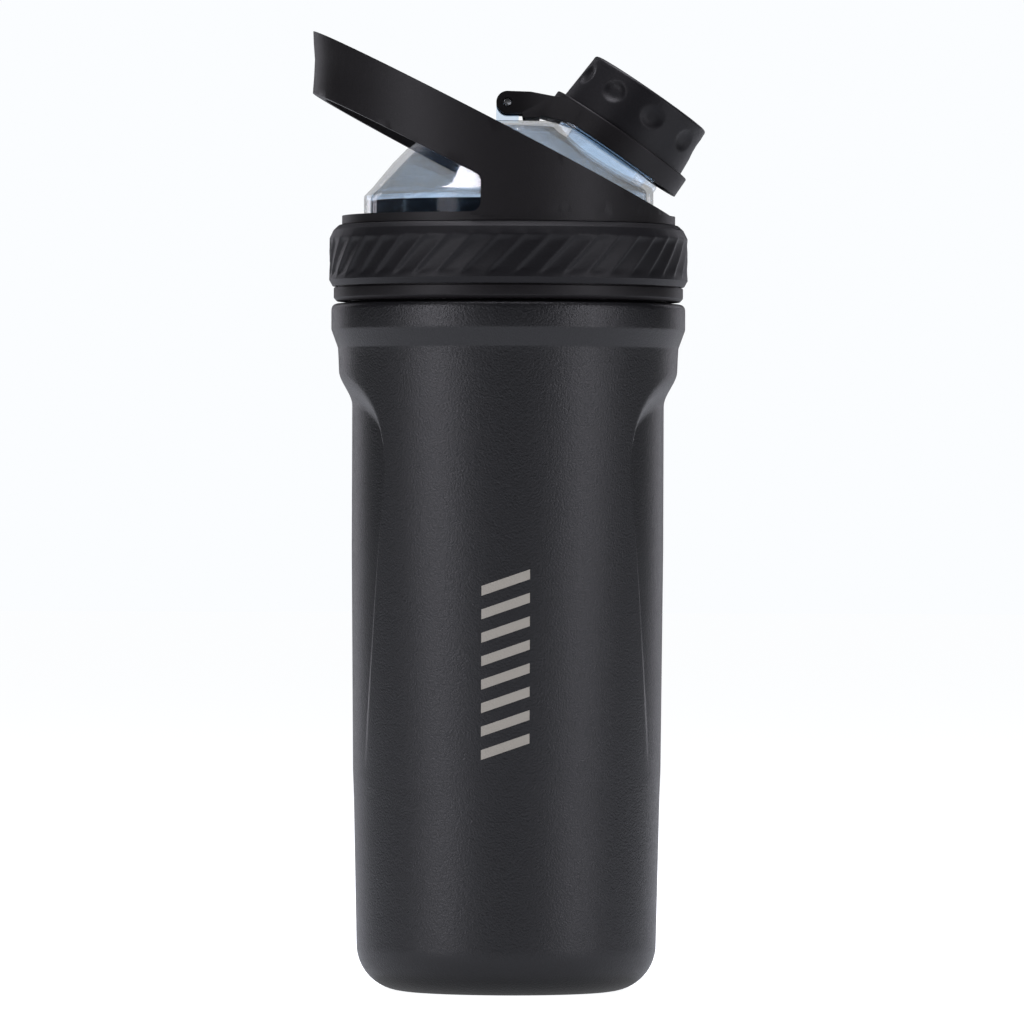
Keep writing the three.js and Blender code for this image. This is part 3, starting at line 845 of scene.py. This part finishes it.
class SHAKER_OT_cover(bpy.types.Operator):
    """Models the black cover with its rigid carry loop"""

    bl_idname = "shaker.cover"
    bl_label = "Cover and carry loop"

    def execute(self, context):
        wall = context.scene.shaker_sizes.strap_wall / MM
        low = COVER_Z[1] - 1.0
        high = loop_top(-LOOP_REACH) + 1
        rows = [mix(low, high, i / 12) for i in range(13)]
        outline = [(COVER_R, z, 0) for z in rows] + [(COVER_R - wall, z, 0) for z in reversed(rows)]
        cover = turned("cover_and_loop", outline, columns=224)

        def draw_out(p):
            """Draws the -X half out to an ellipse and gives the loop's end a shallow waist."""
            if p.x >= 0:
                return p
            radius = math.hypot(p.x, p.y)
            reach = (LOOP_REACH if radius > COVER_R - wall / 2 else LOOP_REACH - wall) / radius
            x = p.x * reach
            middle = (p.z - loop_under(x)) / LOOP_DEPTH
            waist = 0.5 * blend((-x - 25) / 25) * blend(1 - abs(2 * middle - 1)) if radius > 42 else 0
            return (x + waist, p.y, p.z)

        reshaped(cover, draw_out)
        far = -LOOP_REACH - 5
        rim = LOOP_RIM[0] - (COVER_Z[1] - LOOP_RIM[1]) / LOOP_SLOPE
        side, sky = rim + 20, 300
        above = [(side, COVER_Z[1]), (rim, COVER_Z[1]), (far, loop_top(far)), (far, sky), (side, sky)]
        corner = arc((WINDOW_X - WINDOW_CORNER, COVER_Z[1] + WINDOW_CORNER), WINDOW_CORNER, 0, -90, 8)
        window = softened(
            [
                (far, loop_under(far), 0),
                (WINDOW_X, loop_under(WINDOW_X), WINDOW_CORNER),
                *corner,
                (WINDOW_X - WINDOW_CORNER, low - 2, 0),
                (far, low - 2, 0),
            ],
            steps=8,
        )
        for shape in (above, window):
            cut(cover, prism("cutter", [(x, -60, z) for x, z in shape], (0, 120, 0)))
        joined(cover, turned("disc", ring_outline((COVER_OPENING, COVER_R), COVER_Z), columns=224))
        eased(cover, 0.7, 3)
        finished(cover, finish_of(context, "plastic"), "lid", "black_plastic", "carry_cover", angle=40)
        return {"FINISHED"}


def dome_skin(inset):
    """Profile of the dome above its skirt, set in from its outer face."""
    fall = inset * 0.75
    return [
        (DOME_SKIRT - inset, DOME_SHOULDER - fall / 2, 0.8),
        *[(r - inset * 0.6, z - fall, 4.0) for z, r, _ in DOME_RINGS[:-1]],
        (DOME_RINGS[-1][1], DOME_TOP - fall, 1.0),
        (0, DOME_TOP - fall, 0),
    ]


def lean(p):
    """Slides the dome's rings along X, so that its face under the spout is the shallow one."""
    low_z, low_x = DOME_SHOULDER, 0.0
    for high_z, _, high_x in DOME_RINGS:
        if p.z <= high_z:
            break
        low_z, low_x = high_z, high_x
    rise = min(max((p.z - low_z) / max(high_z - low_z, 1), 0), 1)
    return (p.x + mix(low_x, high_x, rise), p.y, p.z)


class SHAKER_OT_dome(bpy.types.Operator):
    """Models the clear dome with its spout and hinge knuckle, and the seal inside its skirt"""

    bl_idname = "shaker.dome"
    bl_label = "Clear dome and spout"

    def execute(self, context):
        inner = DOME_SKIRT - DOME_WALL
        low, high = FLANGE_Z
        flange = [(0, low, 0), (FLANGE_R, low, 0.2), (FLANGE_R, high, 0.2), (DOME_SKIRT, high, 0)]
        dome = reshaped(turned("dome_and_spout", [*flange, *dome_skin(0)], columns=160, steps=5), lean)
        hollow_skin = [(0, 180, 0), (inner, 180, 0), *dome_skin(DOME_WALL)]
        hollow = reshaped(turned("hollow", hollow_skin, columns=160, steps=5), lean)
        neck_outline = [
            (0, -16, 0),
            (15.2, -16, 0),
            (15.2, -5.8, 1.2),
            (SPOUT_R, -5.8, 0.4),
            (SPOUT_R, SPOUT_TOP, 0.7),
            (0, SPOUT_TOP, 0),
        ]
        neck = placed(turned("neck", neck_outline, columns=96), SPOUT_FRAME)
        bore = placed(rod("bore", SPOUT_BORE, -17, SPOUT_TOP + 1, 96), SPOUT_FRAME)
        x, _, z = PIN_PLACE
        barrel = [(px, pz) for px, pz, _ in arc((x, z), KNUCKLE_R, 0, 180, 20)]
        foot = [(x - KNUCKLE_R, DOME_TOP - 2.2), (x + KNUCKLE_R, DOME_TOP - 2.2)]
        knuckle = prism("knuckle", [(px, -5.5, pz) for px, pz in [*foot, *barrel]], (0, 11, 0))
        pin_hole = laid_along_y(rod("pin_hole", PIN_HOLE_R, -7, 7, 32), PIN_PLACE)
        joined(dome, neck)
        cut(dome, hollow, bore)
        joined(dome, knuckle)
        cut(dome, pin_hole)
        eased(dome, 0.3, 2)
        ridges = thread("spout_ridge", (SPOUT_R - 0.3, 14.8), CAP_THREAD, -2.3)
        merged(dome, *[placed(piece, SPOUT_FRAME) for piece in ridges])
        finished(dome, finish_of(context, "clear"), "lid", "clear_plastic", "clear_dome", angle=40)
        heights = [corner.z for corner in node_box("dome_seal")]
        seal_outline = ring_outline((SEAL_INNER, inner - 0.3), heights, 0.3)
        seal = turned("skirt_seal", seal_outline, columns=160)
        finished(seal, finish_of(context, "silicone"), "seal", "black_silicone", "dome_seal")
        return {"FINISHED"}


class SHAKER_OT_mixer(bpy.types.Operator):
    """Models the mixing grid that clips under the lid"""

    bl_idname = "shaker.mixer"
    bl_label = "Mixing grid"

    def execute(self, context):
        ring = turned("mixing_grid", ring_outline(MIXER_R, MIXER_Z), columns=96)
        low = MIXER_Z[0]
        for i in range(MIXER_BARS):
            place = MIXER_PITCH * (i - (MIXER_BARS - 1) / 2)
            near, far = place - MIXER_BAR_HALF, place + MIXER_BAR_HALF
            half = math.sqrt((sum(MIXER_R) / 2) ** 2 - place**2)
            along_x = box("bar_x", (-half, near, low + 0.3), (half, far, low + 2.3))
            along_y = box("bar_y", (near, -half, low + 0.6), (far, half, low + 2.6))
            joined(ring, along_x, along_y)
        eased(ring, 0.3, 2)
        finished(ring, finish_of(context, "plastic"), "mixer", "black_plastic", "mixer_grid")
        return {"FINISHED"}


# ------------------------------------------------------------------ tether and cap
def from_spout(x, z):
    """A place given in the bottle's XZ plane, as seen in the spout's frame."""
    local = SPOUT_FRAME.inverted() @ (Vector((x, 0, z)) * MM) / MM
    return local.x, local.z


class SHAKER_OT_tether(bpy.types.Operator):
    """Models the hinged tether ring with its forked arm, and the hinge pin"""

    bl_idname = "shaker.tether"
    bl_label = "Tether ring and pin"

    def execute(self, context):
        pin_u, pin_v = from_spout(PIN_PLACE.x, PIN_PLACE.z)
        eye = arc((PIN_PLACE.x, PIN_PLACE.z), KNUCKLE_R, 92, 268, 20)
        heel = [(3.4, 227.6), (3.6, 226.5), (7.9, 226.5), (8.1, 227.0)]
        below = [(11.7, 226.1), (16.4, 224.7), (20.4, 222.3)]
        above = [(15.4, 231.4), (11.4, 232.0), (5.7, 233.2)]
        side = [
            *[from_spout(x, z) for x, z, _ in eye],
            *[from_spout(x, z) for x, z in [*heel, *below]],
            (-6, RING_Z[0] + 0.3),
            (-6, -0.8),
            *[from_spout(x, z) for x, z in above],
        ]
        half_plan = [(pin_u - 4, 9.6, 0), (pin_u + 4, 9.6, 0), (-11.5, 16.5, 8), (-4, 19.6, 0)]
        plan = half_plan + [(u, -y, corner) for u, y, corner in reversed(half_plan)]
        arm = prism("tether_and_arm", [(u, -25, v) for u, v in side], (0, 50, 0))
        combined(arm, prism("plan", [(p.x, p.y, -20) for p in softened(plan)], (0, 0, 30)), "INTERSECT")
        low, high = RING_Z
        ring = [(0, low, 0), (RING_OUTER, low, 0), (RING_OUTER, high, 0.5), (0, high, 0)]
        joined(arm, turned("ring", ring, columns=128))
        slot_u = from_spout(6.5, 230)[0]
        cut(
            arm,
            rod("clearance", RING_INNER, -30, 10, 128),
            box("slot", (slot_u - 20, -6.0, pin_v - 12), (slot_u, 6.0, pin_v + 12)),
            laid_along_y(rod("hole", PIN_HOLE_R, -11, 11, 32), (pin_u, 0, pin_v)),
        )
        eased(arm, 0.35, 2)
        placed(arm, SPOUT_FRAME)
        finished(arm, finish_of(context, "plastic"), "tether", "black_plastic", "tether_ring", angle=40)
        shank = PIN_HALF - 0.2
        pin_outline = [(0, -PIN_HALF, 0), (PIN_R, -shank, 0.3), (PIN_R, shank, 0.3), (0, PIN_HALF, 0)]
        pin = laid_along_y(turned("pivot_pin", pin_outline, columns=32), PIN_PLACE)
        finished(pin, finish_of(context, "steel"), "lid", "steel", "hinge_pin")
        return {"FINISHED"}


DIMPLE_V = 7.5
DIMPLE_BAND = (4.0, 12.3)  # stretch of the cap's side whose points may move
DIMPLE_PHASE = math.radians(-90 + 13)
DIMPLE_HALF = (3.6, 3.2)  # mm round the cap and up it
DIMPLE_DEPTH = 0.85


class SHAKER_OT_cap(bpy.types.Operator):
    """Models the drinking cap: its dimpled soft shell, its threaded core and its sealing disc"""

    bl_idname = "shaker.cap"
    bl_label = "Drinking cap"

    def execute(self, context):
        sizes = context.scene.shaker_sizes
        radius = sizes.cap_radius / MM
        count = sizes.dimple_count
        top_radius = radius - 0.85
        rows = [DIMPLE_BAND[0] + 0.35 * i for i in range(23)]
        shell_outline = [
            (radius - 1.1, CAP_BOTTOM, 0.2),
            (radius, CAP_BOTTOM, 0.3),
            (radius, 0.3, 0),
            *[(mix(radius, top_radius, v / 12.2), v, 0) for v in rows],
            (top_radius, CAP_TOP, 1.4),
            (13.2, CAP_TOP, 0),
            (12.9, CAP_TOP - 0.2, 0),
            (0, CAP_TOP - 0.2, 0),
            (0, CAP_TOP - 1.2, 0),
            (top_radius - 0.9, CAP_TOP - 1.2, 0),
        ]
        shell = turned("cap_soft_shell", shell_outline, columns=256)

        def dimple(p):
            around = math.hypot(p.x, p.y)
            if around < top_radius - 0.15 or not DIMPLE_BAND[0] < p.z < DIMPLE_BAND[1]:
                return p
            turn = (math.atan2(p.y, p.x) - DIMPLE_PHASE) * count / FULL_TURN
            across = (turn - round(turn)) * FULL_TURN / count * around
            away = math.hypot(across / DIMPLE_HALF[0], (p.z - DIMPLE_V) / DIMPLE_HALF[1])
            scale = (around - DIMPLE_DEPTH * blend(1 - away**2)) / around
            return (p.x * scale, p.y * scale, p.z)

        placed(reshaped(shell, dimple), SPOUT_FRAME)
        finished(shell, finish_of(context, "soft"), "cap", "soft_black", "cap_shell", angle=40)
        core_outline = [
            (15.2, CAP_BOTTOM, 0.3),
            (16.8, CAP_BOTTOM, 0.3),
            (16.45, 8.0, 0.3),
            (14.5, 8.0, 0.3),
            (14.5, 6.1, 0),
            (0, 6.1, 0),
            (0, 4.6, 0),
            (15.2, 4.6, 0),
        ]
        core = turned("cap_core_cup", core_outline, columns=128)
        placed(merged(core, *thread("core_ridge", (15.5, 14.2), CAP_THREAD, -3.8)), SPOUT_FRAME)
        finished(core, finish_of(context, "plastic"), "cap", "black_plastic", "cap_core")
        seal_outline = [(0, 2.8, 0), (14.6, 2.8, 0.4), (14.6, 4.3, 0.4), (0, 4.3, 0)]
        seal = placed(turned("cap_sealing_disc", seal_outline, columns=96), SPOUT_FRAME)
        finished(seal, finish_of(context, "silicone"), "cap_disc", "black_silicone", "cap_seal")
        return {"FINISHED"}


# ------------------------------------------------------------------ stage
CAMERA_DISTANCE = 2.4
CAMERA_HEIGHT = 0.1243
CAMERA_SIDE = 0.00114
CAMERA_ROLL = math.radians(-0.2)
CAMERA_LENS = 324.5
LIGHT_AIM = Vector((0, 0, 0.12))
FLOOR_GLOW = (0.97, 0.30)  # as seen, and as it lights
SKY_GLOW = (1.0, 0.03)


def area_light(name, azimuth, distance, height, size, power):
    """A soft panel at an azimuth in degrees from the camera's side, aimed at the bottle."""
    turn = math.radians(azimuth)
    place = Vector((math.sin(turn) * distance, -math.cos(turn) * distance, height))
    bpy.ops.object.light_add(type="AREA", location=place)
    light = bpy.context.object
    light.name = name
    light.data.shape = "RECTANGLE"
    light.data.size, light.data.size_y = size
    light.data.energy = power
    light.data.color = linear("#f7f5ff")
    light.rotation_euler = (place - LIGHT_AIM).to_track_quat("Z", "Y").to_euler()


def seen_or_lit(tree, seen, lit):
    """One strength for a ray from the camera or through clear plastic, less for each reflection on
    its way, and one for every other ray."""
    path = add(tree, "LightPath").outputs
    direct = {0: path["Is Camera Ray"], 1: path["Is Transmission Ray"]}
    either = add(tree, "Math", {"operation": "MAXIMUM"}, direct)
    depths = {0: path["Glossy Depth"], 1: 0.3, 2: path["Diffuse Depth"]}
    bounces = add(tree, "Math", {"operation": "MULTIPLY_ADD"}, depths)
    left = {0: 1.0, 1: bounces.outputs[0]}
    straight = add(tree, "Math", {"operation": "SUBTRACT", "use_clamp": True}, left)
    shares = {0: either.outputs[0], 1: straight.outputs[0]}
    share = add(tree, "Math", {"operation": "MULTIPLY"}, shares).outputs[0]
    strength = {"Value": share, "To Min": lit, "To Max": seen}
    return add(tree, "MapRange", None, strength).outputs["Result"]


class SHAKER_OT_stage(bpy.types.Operator):
    """Sets the pale floor, the soft studio lights and the camera"""

    bl_idname = "shaker.stage"
    bl_label = "Stage"

    def execute(self, context):
        scene = context.scene
        bpy.ops.object.select_all(action="DESELECT")
        bpy.ops.mesh.primitive_circle_add(vertices=96, radius=9, fill_type="NGON")
        floor = context.object
        floor.name = "studio_floor"
        material, tree, shader, _ = new_finish("pale_floor")
        shader.inputs["Base Color"].default_value = rgba(linear("#d9dde2"))
        shader.inputs["Roughness"].default_value = 0.9
        shader.inputs["Emission Color"].default_value = rgba(linear("#fdfeff"))
        floor.data.materials.append(material)
        tree.links.new(seen_or_lit(tree, *FLOOR_GLOW), shader.inputs["Emission Strength"])

        area_light("left_panel", -50, 1.5, 0.30, (0.45, 1.3), 10.2)
        area_light("right_panel", 54, 1.5, 0.30, (0.45, 1.3), 8.8)
        area_light("left_rim", -150, 1.7, 0.25, (0.35, 1.2), 2.3)
        area_light("right_rim", 150, 1.7, 0.25, (0.35, 1.2), 2.3)
        area_light("top_panel", 0, -0.1, 1.3, (0.9, 0.9), 16)

        scene.world = bpy.data.worlds.new("studio")
        scene.world.use_nodes = True
        tree = scene.world.node_tree
        sky = tree.nodes["Background"]
        sky.inputs["Color"].default_value = rgba(linear("#fbfdff"))
        tree.links.new(seen_or_lit(tree, *SKY_GLOW), sky.inputs["Strength"])

        camera_data = bpy.data.cameras.new("camera")
        camera_data.lens = CAMERA_LENS
        camera_data.clip_end = 50
        camera = bpy.data.objects.new("camera", camera_data)
        scene.collection.objects.link(camera)
        camera.location = (CAMERA_SIDE, -CAMERA_DISTANCE, CAMERA_HEIGHT)
        camera.rotation_euler = (math.pi / 2, CAMERA_ROLL, 0)
        scene.camera = camera
        scene.view_settings.view_transform = "Standard"
        return {"FINISHED"}


# ------------------------------------------------------------------ add-on
class SHAKER_PT_panel(bpy.types.Panel):
    """Lists the bottle's pieces, sizes and colours"""

    bl_idname = "SHAKER_PT_panel"
    bl_label = "Shaker Bottle"
    bl_space_type = "VIEW_3D"
    bl_region_type = "UI"
    bl_category = "Shaker"

    def draw(self, context):
        for settings in (context.scene.shaker_sizes, context.scene.shaker_colours):
            column = self.layout.column()
            for name in settings.__annotations__:
                column.prop(settings, name)
        for operator in OPERATORS:
            self.layout.operator(operator.bl_idname)


OPERATORS = (
    SHAKER_OT_stage,
    SHAKER_OT_flask,
    SHAKER_OT_liner,
    SHAKER_OT_collar,
    SHAKER_OT_grip,
    SHAKER_OT_cover,
    SHAKER_OT_dome,
    SHAKER_OT_mixer,
    SHAKER_OT_tether,
    SHAKER_OT_cap,
)
CLASSES = (ShakerSizes, ShakerColours, *OPERATORS, SHAKER_PT_panel)


def register():
    for kind in CLASSES:
        bpy.utils.register_class(kind)
    bpy.types.Scene.shaker_sizes = PointerProperty(type=ShakerSizes)
    bpy.types.Scene.shaker_colours = PointerProperty(type=ShakerColours)


def unregister():
    del bpy.types.Scene.shaker_sizes
    del bpy.types.Scene.shaker_colours
    for kind in reversed(CLASSES):
        bpy.utils.unregister_class(kind)


def main():
    register()
    bpy.ops.shaker.stage()
    bpy.ops.shaker.flask()
    bpy.ops.shaker.liner()
    bpy.ops.shaker.collar()
    bpy.ops.shaker.grip()
    bpy.ops.shaker.cover()
    bpy.ops.shaker.dome()
    bpy.ops.shaker.mixer()
    bpy.ops.shaker.tether()
    bpy.ops.shaker.cap()


if __name__ == "__main__":
    main()
